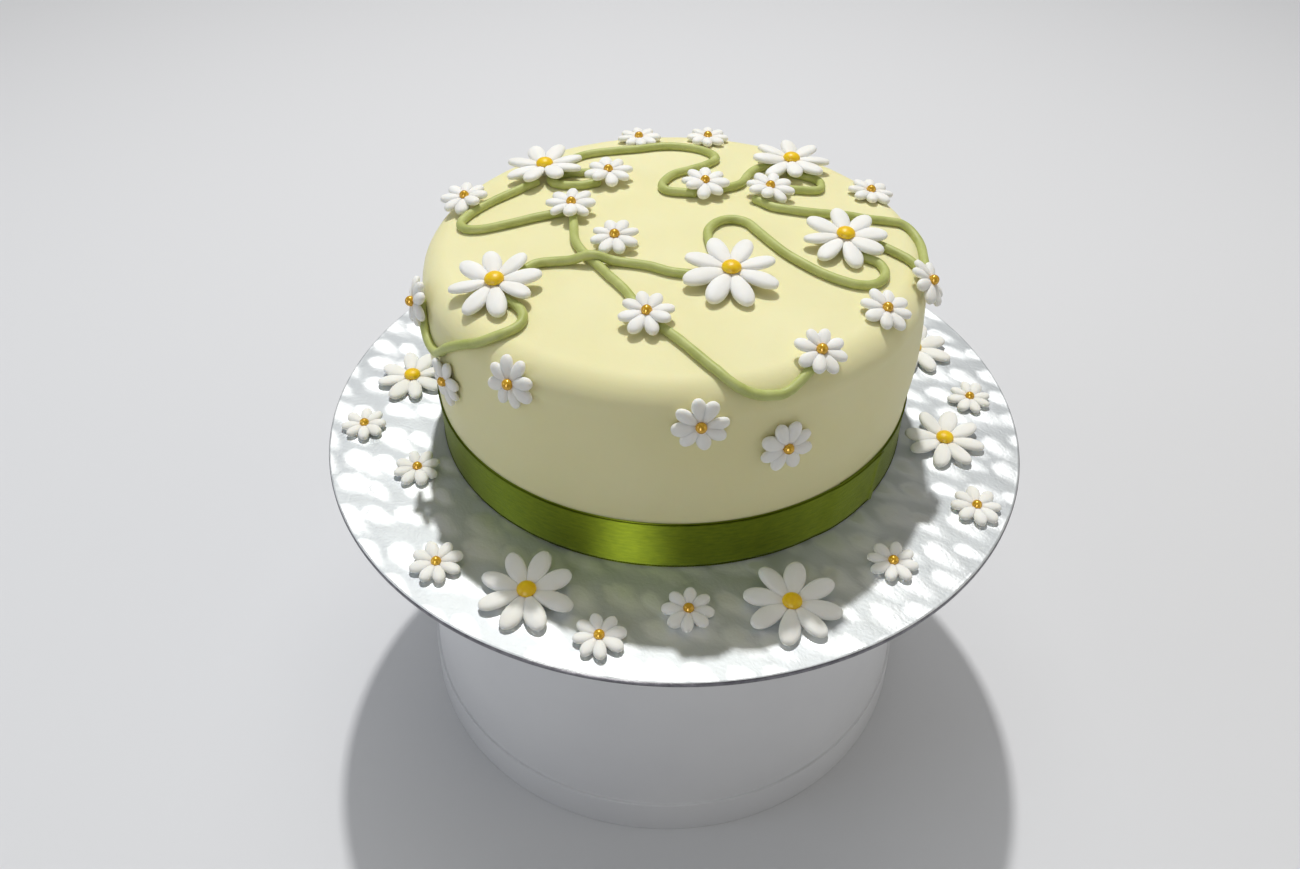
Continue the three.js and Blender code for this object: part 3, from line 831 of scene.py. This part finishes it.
def vine_tree():
    """A tree that rolls paste along curves: round ends, uneven thickness, soft dents."""
    tree, start, end = new_tree("rolled vines", [
        ("Radius", "Float"), ("Step", "Float"), ("Sides", "Int"), ("Uneven", "Float"),
        ("Finish", "Material"),
    ])
    fine = add_node(tree, "GeometryNodeResampleCurve", {
        "Curve": start.outputs["Geometry"], "Length": start.outputs["Step"],
    }, mode="LENGTH")
    place = add_node(tree, "GeometryNodeInputPosition").outputs["Position"]
    swell = add_node(tree, "ShaderNodeTexNoise", {"Vector": place, "Scale": 90.0, "Detail": 2.0})
    centred = reckon(tree, "SUBTRACT", swell.outputs["Fac"], 0.5)
    spread = reckon(tree, "MULTIPLY", start.outputs["Uneven"], 2.0)
    thickness = reckon(tree, "ADD", 1.0, reckon(tree, "MULTIPLY", centred, spread))
    along = add_node(tree, "GeometryNodeSplineParameter").outputs["Length"]
    whole = add_node(tree, "GeometryNodeSplineLength").outputs["Length"]
    from_end = reckon(tree, "MINIMUM", along, reckon(tree, "SUBTRACT", whole, along))
    near = reckon(tree, "DIVIDE", from_end, start.outputs["Radius"], clamp=True)
    away = reckon(tree, "SUBTRACT", 1.0, near)
    round_end = reckon(tree, "SUBTRACT", 1.0, reckon(tree, "MULTIPLY", away, away))
    tip = reckon(tree, "SQRT", reckon(tree, "MAXIMUM", round_end, VINE_TIP_SHARE))
    radius = reckon(tree, "MULTIPLY", reckon(tree, "MULTIPLY", thickness, tip), start.outputs["Radius"])
    section = add_node(tree, "GeometryNodeCurvePrimitiveCircle", {
        "Resolution": start.outputs["Sides"], "Radius": 1.0,
    })
    rolled = add_node(tree, "GeometryNodeCurveToMesh", {
        "Curve": fine.outputs["Curve"], "Profile Curve": section.outputs["Curve"],
        "Scale": radius, "Fill Caps": True,
    })
    smooth = add_node(tree, "GeometryNodeSetShadeSmooth", {"Geometry": rolled.outputs["Mesh"]})
    real = add_node(tree, "GeometryNodeRealizeInstances", {"Geometry": smooth.outputs["Geometry"]})
    dyed = add_node(tree, "GeometryNodeSetMaterial", {
        "Geometry": real.outputs["Geometry"], "Material": start.outputs["Finish"],
    })
    tree.links.new(dyed.outputs["Geometry"], end.inputs["Geometry"])
    return tree


def vine_finish():
    finish, tree, shader = new_finish("green sugar paste")
    place = object_place(tree)
    cloud = mottle(tree, place, 150.0, detail=4.0, roughness=0.6)
    tint(tree, shader, cloud, (172, 180, 101), (192, 198, 127))
    roughen(tree, shader, cloud, 0.42, 0.58)
    grain = mottle(tree, place, 1600.0, detail=3.0)
    tree.links.new(relief(tree, grain, 0.00008, 0.5), shader.inputs["Normal"])
    set_sockets(shader, {
        "Subsurface Weight": 0.5,
        "Subsurface Radius": (0.9, 1.0, 0.45),
        "Subsurface Scale": 0.0016,
    })
    return finish


green_paste = vine_finish()
vine_lines = [laid_vine(route) for route in vine_routes.values()]
vines = grown_mesh("paste_vines", route_curve("vines", vine_lines), vine_tree(), {
    "Radius": VINE_RADIUS, "Step": VINE_STEP, "Sides": VINE_SIDES, "Uneven": VINE_UNEVEN,
    "Finish": green_paste,
})
new_piece("paste_vines", vines, [green_paste], list(vine_routes))


# Daisies: cut from white sugar paste with a plunger, their eight plump petals pinched and set at
# slightly different angles, then glued on. Their places, tilt and size come from the frame, and
# each petal rests on what is under it.
PETALS = 8
LARGE_PASTE = 0.0022
SMALL_PASTE = 0.0017
LARGE_BUTTON_HEIGHT = 0.0032
SMALL_BUTTON_HEIGHT = 0.0034
CONTACT_GAP = 0.0003
PRESSED_DOWN = 0.0004
SEAT_SHARE = 0.22
SEAT_CLEARANCE = 0.0006
PETAL_CLEARANCE = 0.0004
SEAT_DROP_MOST = 0.0012
PETAL_LOWEST = -0.2
PETAL_HIGHEST = 0.3
LEAN_TO_FRONT = 0.17
PETAL_DROOP = 0.03
# Where a petal feels for what is under it: (share of its reach, the same to the side).
PETAL_FEELERS = (
    (0.4, 0), (0.58, -0.15), (0.58, 0), (0.58, 0.15), (0.76, -0.13), (0.76, 0), (0.76, 0.13), (0.92, 0),
)
FEEL_FROM = 0.02
FEEL_REACH = 0.05
FACES_UP = 0.85
PETAL_ROOT = 0.09
PETAL_POINTED = 1.38
PETAL_FAT = 0.6
CREASES_AT = (-0.34, 0.34)
CREASE_WIDTH = 0.14
CREASE_DEPTH = 0.09
PETAL_KINDS = 5
# A Random Value node has sockets for each kind of number. These are the numbers of those used.
RANDOM_FLOAT_MIN, RANDOM_FLOAT_MAX, RANDOM_FLOAT_OUT = 2, 3, 1
RANDOM_WHOLE_MIN, RANDOM_WHOLE_MAX, RANDOM_WHOLE_OUT = 4, 5, 2


def daisy_place(name):
    """Reads a daisy's foot, turn, radius and height off its node in the frame."""
    spots = np.array([vert.co for vert in frame["nodes"][name].data.vertices])
    spots = np.unique(np.round(spots, 6), axis=0)
    middle = spots.mean(axis=0)
    reach = np.linalg.norm(spots - middle, axis=1)
    tips = spots[np.argsort(reach)[-PETALS:]]
    tip_middle = tips.mean(axis=0)
    across = np.linalg.svd(tips - tip_middle)[2]
    facing = Vector(across[2])
    if facing.dot(Vector(tip_middle) - Vector((*cake_middle, cake_foot))) < 0:
        facing = -facing
    heights = (spots - tip_middle) @ np.array(facing)
    first = Vector(tips[0] - tip_middle).normalized()
    side = facing.cross(first)
    turn = Matrix((first, side, facing)).transposed().to_quaternion()
    foot = Vector(tip_middle) + facing * (heights.min() - CONTACT_GAP)
    return {
        "foot": foot,
        "turn": turn,
        "radius": float(np.linalg.norm(tips - tip_middle, axis=1).mean()),
        "top": float(heights.max() - heights.min() + CONTACT_GAP),
    }


daisy_names = [name for name in sorted(frame["nodes"]) if name.startswith("daisy")]
large_daisies = {name: daisy_place(name) for name in daisy_names if "large" in name}
small_daisies = {name: daisy_place(name) for name in daisy_names if "large" not in name}
shuffle = random.Random(11)


def petal_mesh(name, half_width, crown, belly, blunt, steps_along, steps_round):
    """One petal of unit reach along X, root near the middle: a plump pointed oval with two faint
    creases along it. Each one made is a little wider, longer or more bent than the next."""
    wide = half_width * shuffle.uniform(0.93, 1.08)
    reach = shuffle.uniform(0.905, 0.955)
    bend = shuffle.uniform(-0.025, 0.03)
    droop = shuffle.uniform(0.01, PETAL_DROOP)
    bm = bmesh.new()
    rings = []
    for step in range(1, steps_along):
        t = step / steps_along
        eased = 0.5 - 0.5 * math.cos(math.pi * t)
        along = PETAL_ROOT + (reach - PETAL_ROOT) * eased
        width = wide * math.sin(math.pi * max(eased, 0.004) ** PETAL_POINTED) ** blunt
        fat = (width / wide) ** PETAL_FAT
        middle = bend * math.sin(math.pi * eased)
        lie = -droop * eased ** 3
        ring = []
        for side in range(steps_round):
            turn = math.tau * side / steps_round
            over = math.cos(turn)
            rise = math.sin(turn)
            if rise >= 0:
                crease = sum(math.exp(-((over + line) / CREASE_WIDTH) ** 2) for line in CREASES_AT)
                height = crown * fat * (rise ** 0.9 - CREASE_DEPTH * crease)
            else:
                height = -belly * fat * abs(rise) ** 0.8
            ring.append(bm.verts.new((along, middle + width * over, belly + height + lie)))
        rings.append(ring)
    foot = bm.verts.new((PETAL_ROOT * 0.8, 0, belly))
    tip = bm.verts.new((reach, middle * 0.2, belly - droop))
    for i in range(steps_round):
        j = (i + 1) % steps_round
        bm.faces.new((foot, rings[0][i], rings[0][j]))
        bm.faces.new((tip, rings[-1][j], rings[-1][i]))
        for near, far in zip(rings, rings[1:]):
            bm.faces.new((near[i], far[i], far[j], near[j]))
    bmesh.ops.recalc_face_normals(bm, faces=bm.faces)
    return mesh_from(bm, name)


def dome_mesh(name, radius, height, foot_share, steps_up, segments):
    """A closed round pad or ball that stands on z 0: foot_share of its height is under the widest."""
    outline = [(0, 0)]
    for step in range(1, steps_up):
        turn = math.pi * step / steps_up - math.pi / 2
        lower = height * foot_share
        part = lower if turn < 0 else height - lower
        outline.append((radius * math.cos(turn), lower + part * math.sin(turn)))
    outline.append((0, height))
    return turned_mesh(name, outline, (0, 0), segments)


def petal_kit(name, meshes):
    """A collection of shapes for a tree to pick from."""
    kit = bpy.data.collections.new(name)
    for number, mesh in enumerate(meshes):
        kit.objects.link(bpy.data.objects.new(f"{name}_{number}", mesh))
    return kit


def flower_tree():
    """A tree that sets one part of a kit on each point, turned as the point says, each a little
    different from the next."""
    tree, start, end = new_tree("daisy parts", [
        ("Kit", "Collection"), ("Jitter", "Float"), ("Sway", "Float"), ("Roll", "Float"),
        ("Uneven", "Float"), ("Kinds", "Int"), ("Seed", "Int"), ("Finish", "Material"),
    ])

    def draw(spread, salt):
        seed = reckon(tree, "ADD", start.outputs["Seed"], salt)
        low = reckon(tree, "MULTIPLY", spread, -1.0)
        return add_node(tree, "FunctionNodeRandomValue", {
            RANDOM_FLOAT_MIN: low, RANDOM_FLOAT_MAX: spread, "Seed": seed,
        }, data_type="FLOAT").outputs[RANDOM_FLOAT_OUT]

    def turned(rotation, axis, angle):
        spin = add_node(tree, "FunctionNodeAxisAngleToRotation", {"Axis": axis, "Angle": angle})
        return add_node(tree, "FunctionNodeRotateRotation", {
            "Rotation": rotation, "Rotate By": spin.outputs["Rotation"],
        }, rotation_space="LOCAL").outputs["Rotation"]

    def carried(name, kind):
        return add_node(tree, "GeometryNodeInputNamedAttribute", {"Name": name},
                        data_type=kind).outputs["Attribute"]

    facing = turned(carried("turn", "QUATERNION"), (0, 0, 1), draw(start.outputs["Jitter"], 1))
    pitch = reckon(tree, "ADD", carried("pitch", "FLOAT"), draw(start.outputs["Sway"], 2))
    facing = turned(facing, (0, 1, 0), reckon(tree, "MULTIPLY", pitch, -1.0))
    facing = turned(facing, (1, 0, 0), draw(start.outputs["Roll"], 3))
    growth = reckon(tree, "ADD", 1.0, draw(start.outputs["Uneven"], 4))
    size = reckon(tree, "MULTIPLY", carried("size", "FLOAT"), growth)
    kit = add_node(tree, "GeometryNodeCollectionInfo", {
        "Collection": start.outputs["Kit"], "Separate Children": True, "Reset Children": True,
    })
    pick = add_node(tree, "FunctionNodeRandomValue", {
        RANDOM_WHOLE_MIN: 0, RANDOM_WHOLE_MAX: reckon(tree, "SUBTRACT", start.outputs["Kinds"], 1.0),
        "Seed": reckon(tree, "ADD", start.outputs["Seed"], 5),
    }, data_type="INT")
    placed = add_node(tree, "GeometryNodeInstanceOnPoints", {
        "Points": start.outputs["Geometry"], "Instance": kit.outputs["Instances"],
        "Pick Instance": True, "Rotation": facing,
    })
    tree.links.new(pick.outputs[RANDOM_WHOLE_OUT], placed.inputs["Instance Index"])
    tree.links.new(size, placed.inputs["Scale"])
    real = add_node(tree, "GeometryNodeRealizeInstances", {"Geometry": placed.outputs["Instances"]})
    smooth = add_node(tree, "GeometryNodeSetShadeSmooth", {"Geometry": real.outputs["Geometry"]})
    dyed = add_node(tree, "GeometryNodeSetMaterial", {
        "Geometry": smooth.outputs["Geometry"], "Material": start.outputs["Finish"],
    })
    tree.links.new(dyed.outputs["Geometry"], end.inputs["Geometry"])
    return tree


def part_points(name, places):
    """One point for each part to set, from a list of (spot, turn, size, pitch)."""
    mesh = bpy.data.meshes.new(name)
    mesh.from_pydata([spot for spot, _, _, _ in places], [], [])
    turns = mesh.attributes.new("turn", "QUATERNION", "POINT")
    turns.data.foreach_set("value", [part for _, turn, _, _ in places for part in turn])
    sizes = mesh.attributes.new("size", "FLOAT", "POINT")
    sizes.data.foreach_set("value", [size for _, _, size, _ in places])
    pitches = mesh.attributes.new("pitch", "FLOAT", "POINT")
    pitches.data.foreach_set("value", [pitch for _, _, _, pitch in places])
    return mesh


def petal_finish():
    finish, tree, shader = new_finish("white sugar paste")
    place = object_place(tree)
    cloud = mottle(tree, place, 90.0, detail=3.0)
    tint(tree, shader, cloud, (236, 235, 229), (243, 243, 240))
    roughen(tree, shader, cloud, 0.5, 0.62)
    grain = mottle(tree, place, 1900.0, detail=3.0)
    tree.links.new(relief(tree, grain, 0.00006, 0.5), shader.inputs["Normal"])
    set_sockets(shader, {
        "Specular IOR Level": 0.3,
        "Subsurface Weight": 0.4,
        "Subsurface Radius": (1.0, 0.9, 0.75),
        "Subsurface Scale": 0.0012,
    })
    return finish


flowers = flower_tree()
white_paste = petal_finish()


def seat_of(daisy, paste, button):
    """Height of the petals' roots. A real flower is pressed down until it touches."""
    return daisy["top"] - paste - button - PRESSED_DOWN


under_daisies = [
    BVHTree.FromPolygons([vert.co for vert in mesh.vertices], [face.vertices for face in mesh.polygons])
    for mesh in (bpy.data.objects[name].data for name in ("icing", "foil_board", "paste_vines"))
]


def height_under(spot, facing):
    """How high what is under a spot stands against it, along the daisy's facing."""
    start = spot + facing * FEEL_FROM
    hits = [tree.ray_cast(start, -facing, FEEL_REACH)[3] for tree in under_daisies]
    return FEEL_FROM - min([hit for hit in hits if hit is not None], default=FEEL_REACH)


def petal_pitch(root, turn, radius):
    """How far a petal rises or droops. A daisy that faces up leans to the front, down to where its
    petals all but touch the icing, the board or a vine. One on the side lies flat on it."""
    facing = turn @ Vector((0, 0, 1))
    lean = LEAN_TO_FRONT * (turn @ Vector((1, 0, 0))).y if facing.z > FACES_UP else PETAL_LOWEST
    needed = [lean]
    for share, side in PETAL_FEELERS:
        spot = root + turn @ Vector((share * radius, side * radius, 0))
        rise = height_under(spot, facing) + PETAL_CLEARANCE + PETAL_DROOP * radius * share ** 3
        needed.append(math.atan2(rise, share * radius))
    return min(PETAL_HIGHEST, max([PETAL_LOWEST] + needed))


def press_down(daisy, paste, button):
    """Lowers a daisy's top until its middle rests on what is under it."""
    facing = daisy["turn"] @ Vector((0, 0, 1))
    root = daisy["foot"] + facing * seat_of(daisy, paste, button)
    rises = [height_under(root, facing)]
    for number in range(2 * PETALS):
        around = Quaternion((0, 0, 1), math.tau * number / (2 * PETALS))
        out = Vector((SEAT_SHARE * daisy["radius"], 0, 0))
        rises.append(height_under(root + daisy["turn"] @ (around @ out), facing))
    daisy["top"] += max(-SEAT_DROP_MOST, min(0.0, max(rises) + SEAT_CLEARANCE))


def make_petals(name, daisies, kit, paste, button, seed):
    """All the petals of one size of daisy, pressed down and grown as one piece."""
    places = []
    for daisy in daisies.values():
        press_down(daisy, paste, button)
        root = daisy["foot"] + daisy["turn"] @ Vector((0, 0, seat_of(daisy, paste, button)))
        for number in range(PETALS):
            turn = daisy["turn"] @ Quaternion((0, 0, 1), math.tau * number / PETALS)
            places.append((root, turn, daisy["radius"], petal_pitch(root, turn, daisy["radius"])))
    petals = grown_mesh(name, part_points(name + "_points", places), flowers, {
        "Kit": kit, "Jitter": 0.07, "Sway": 0.022, "Roll": 0.2, "Uneven": 0.025,
        "Kinds": len(kit.objects), "Seed": seed, "Finish": white_paste,
    })
    new_piece(name, petals, [white_paste], list(daisies))


large_kit = petal_kit("large_petal", [
    petal_mesh("large_petal", half_width=0.205, crown=0.105, belly=0.08, blunt=0.42,
               steps_along=12, steps_round=20)
    for _ in range(PETAL_KINDS)
])
small_kit = petal_kit("small_petal", [
    petal_mesh("small_petal", half_width=0.248, crown=0.16, belly=0.12, blunt=0.42,
               steps_along=10, steps_round=14)
    for _ in range(PETAL_KINDS)
])
make_petals("large_petals", large_daisies, large_kit, LARGE_PASTE, LARGE_BUTTON_HEIGHT, 3)
make_petals("small_petals", small_daisies, small_kit, SMALL_PASTE, SMALL_BUTTON_HEIGHT, 8)


# Daisy hearts: a small pad of the same white paste under each flower holds it to the icing, the
# board or a vine, and its top closes the middle where the petals meet.
HEART_LARGE = 0.0042
HEART_SMALL = 0.0026
HEART_TALL = 1.15


def middle_places(daisies, below_top, size):
    """A place in the middle of each daisy, below_top under its top, for a part of that size."""
    return [
        (daisy["foot"] + daisy["turn"] @ Vector((0, 0, daisy["top"] - below_top)), daisy["turn"], size, 0.0)
        for daisy in daisies.values()
    ]


def make_middles(name, places, kit, finish, seed):
    """One part of a kit in the middle of each daisy, grown as one piece."""
    mesh = grown_mesh(name, part_points(name + "_points", places), flowers, {
        "Kit": kit, "Jitter": 0.0, "Sway": 0.0, "Roll": 0.0, "Uneven": 0.0,
        "Kinds": len(kit.objects), "Seed": seed, "Finish": finish,
    })
    new_piece(name, mesh, [finish], [])


heart_kit = petal_kit("heart", [dome_mesh("heart", 1.0, HEART_TALL, 0.5, 10, 20)])
heart_places = [
    *middle_places(large_daisies, LARGE_BUTTON_HEIGHT + HEART_LARGE * HEART_TALL, HEART_LARGE),
    *middle_places(small_daisies, SMALL_BUTTON_HEIGHT + HEART_SMALL * HEART_TALL, HEART_SMALL),
]
make_middles("daisy_hearts", heart_places, heart_kit, white_paste, 1)


# Buttons: a flattened dome of bright yellow paste on each large daisy, and a small glossy golden
# ball pressed into each small one.
LARGE_BUTTON_RADIUS = 0.0037
LARGE_DEEP = 1.25
SMALL_BUTTON_RADIUS = 0.00204
SMALL_BUTTON_SUNK = 0.0007


def yellow_finish():
    finish, tree, shader = new_finish("yellow sugar paste")
    place = object_place(tree)
    cloud = mottle(tree, place, 420.0, detail=4.0, roughness=0.6)
    tint(tree, shader, cloud, (238, 190, 2), (249, 212, 14))
    roughen(tree, shader, cloud, 0.3, 0.46)
    grain = mottle(tree, place, 1500.0, detail=3.0)
    tree.links.new(relief(tree, grain, 0.00016, 0.7), shader.inputs["Normal"])
    set_sockets(shader, {
        "Subsurface Weight": 0.2,
        "Subsurface Radius": (1.0, 0.6, 0.1),
        "Subsurface Scale": 0.0008,
    })
    return finish


def golden_finish():
    finish, tree, shader = new_finish("golden sugar ball")
    place = object_place(tree)
    cloud = mottle(tree, place, 500.0, detail=3.0)
    tint(tree, shader, cloud, (208, 154, 24), (230, 182, 44))
    roughen(tree, shader, cloud, 0.2, 0.32)
    grain = mottle(tree, place, 1400.0, detail=2.0)
    tree.links.new(relief(tree, grain, 0.00008, 0.5), shader.inputs["Normal"])
    set_sockets(shader, {
        "Metallic": 0.3,
        "Coat Weight": 0.4,
        "Coat Roughness": 0.12,
    })
    return finish


large_button_tall = LARGE_BUTTON_HEIGHT * LARGE_DEEP
large_button_kit = petal_kit("large_button", [
    dome_mesh("large_button", 1.0, large_button_tall / LARGE_BUTTON_RADIUS, 0.4, 12, 28)
])
large_button_places = middle_places(
    large_daisies, large_button_tall + PRESSED_DOWN, LARGE_BUTTON_RADIUS)
make_middles("large_buttons", large_button_places, large_button_kit, yellow_finish(), 5)
small_button_kit = petal_kit("small_button", [dome_mesh("small_button", 1.0, 2.0, 0.5, 12, 22)])
small_button_places = middle_places(
    small_daisies, SMALL_BUTTON_RADIUS * 2 + PRESSED_DOWN + SMALL_BUTTON_SUNK, SMALL_BUTTON_RADIUS)
make_middles("small_buttons", small_button_places, small_button_kit, golden_finish(), 6)

# The shapes that the trees picked from are no part of the cake.
for kit in (large_kit, small_kit, heart_kit, large_button_kit, small_button_kit):
    for shape in list(kit.objects):
        bpy.data.objects.remove(shape)
    bpy.data.collections.remove(kit)


# Floor: a wide plain pale surface, not part of the object.
FLOOR_REACH = 5.0


def floor_finish():
    finish, _, shader = new_finish("plain pale floor")
    set_sockets(shader, {
        "Base Color": paint(220, 221, 224),
        "Roughness": 0.9,
        "Specular IOR Level": 0.1,
    })
    return finish


floor_mesh = bpy.data.meshes.new("floor")
floor_mesh.from_pydata([
    (-FLOOR_REACH, -FLOOR_REACH, 0), (FLOOR_REACH, -FLOOR_REACH, 0),
    (FLOOR_REACH, FLOOR_REACH, 0), (-FLOOR_REACH, FLOOR_REACH, 0),
], [], [(0, 1, 2, 3)])
floor_mesh.materials.append(floor_finish())
floor = bpy.data.objects.new("floor", floor_mesh)
bpy.context.scene.collection.objects.link(floor)


# Light: a small bright panel high behind the cake throws the shadows towards the viewer. Wide
# panels over it and at its front, left and right are softer, and a tall one shines on the satin.
LIGHT_AIM = Vector((0, 0, 0.19))


def add_panel(name, bearing, height_angle, distance, width, height, power, colour):
    """A flat light panel, aimed at the cake, placed by its bearing and its angle over the table."""
    light = bpy.data.lights.new(name, "AREA")
    light.shape = "RECTANGLE"
    light.size = width
    light.size_y = height
    light.energy = power
    light.color = colour
    panel = bpy.data.objects.new(name, light)
    level = math.cos(math.radians(height_angle)) * distance
    panel.location = LIGHT_AIM + Vector((
        level * math.cos(math.radians(bearing)),
        level * math.sin(math.radians(bearing)),
        math.sin(math.radians(height_angle)) * distance,
    ))
    panel.rotation_mode = "QUATERNION"
    panel.rotation_quaternion = (LIGHT_AIM - panel.location).to_track_quat("-Z", "Y")
    bpy.context.scene.collection.objects.link(panel)
    return panel


add_panel("key_panel", bearing=95, height_angle=65, distance=2.2, width=0.08, height=0.08,
          power=31, colour=(1.0, 0.99, 0.97))
top_panel = add_panel("top_panel", bearing=88, height_angle=74, distance=2.0, width=1.6, height=1.6,
                      power=9.0, colour=(1.0, 1.0, 1.0))
top_panel.visible_glossy = False
add_panel("front_panel", bearing=-104, height_angle=26, distance=1.5, width=0.5, height=0.5,
          power=1.0, colour=(1.0, 0.98, 0.94))
add_panel("left_panel", bearing=196, height_angle=22, distance=1.4, width=0.7, height=0.7,
          power=2.6, colour=(0.84, 0.92, 1.0))
add_panel("right_panel", bearing=-16, height_angle=17, distance=1.4, width=1.0, height=0.7,
          power=2.2, colour=(1.0, 0.96, 0.84))
satin_panel = add_panel("satin_panel", bearing=-106, height_angle=14, distance=1.5, width=0.34,
                        height=1.1, power=10.0, colour=(1.0, 0.98, 0.92))
satin_panel.visible_diffuse = False

world = bpy.data.worlds.new("soft room")
world.use_nodes = True
room = world.node_tree.nodes["Background"]
room.inputs["Color"].default_value = (1.0, 0.99, 0.97, 1.0)
room.inputs["Strength"].default_value = 0.21
bpy.context.scene.world = world
bpy.context.scene.view_settings.view_transform = "Standard"


# Camera: in front of the cake, looking down on it, as in the photograph. It is aimed at the middle
# of the board, then panned, tilted and rolled a little.
SENSOR_WIDTH = 36.0
IMAGE_WIDTH = 1300
FOCAL_PIXELS = 1000
CAMERA_DISTANCE = 0.4556
CAMERA_HEIGHT_ANGLE = math.radians(39.15)
CAMERA_PAN = math.radians(1.28)
CAMERA_TILT = math.radians(-1.97)
CAMERA_ROLL = math.radians(-1.40)

camera_data = bpy.data.cameras.new("camera")
camera_data.sensor_width = SENSOR_WIDTH
camera_data.lens = FOCAL_PIXELS * SENSOR_WIDTH / IMAGE_WIDTH
camera_data.clip_start = 0.01
camera = bpy.data.objects.new("camera", camera_data)
bpy.context.scene.collection.objects.link(camera)
board_middle = Vector((0, 0, board_high.z))
away = Vector((0, -math.cos(CAMERA_HEIGHT_ANGLE), math.sin(CAMERA_HEIGHT_ANGLE)))
forward = -away
right = Vector((1, 0, 0))
up = right.cross(forward)
swing = Quaternion(up, CAMERA_PAN) @ Quaternion(right, CAMERA_TILT)
forward = swing @ forward
roll = Quaternion(forward, CAMERA_ROLL)
right = roll @ (swing @ right)
up = roll @ (swing @ up)
camera.matrix_world = Matrix.Translation(board_middle + away * CAMERA_DISTANCE) @ Matrix(
    (right, up, -forward)
).transposed().to_4x4()
bpy.context.scene.camera = camera
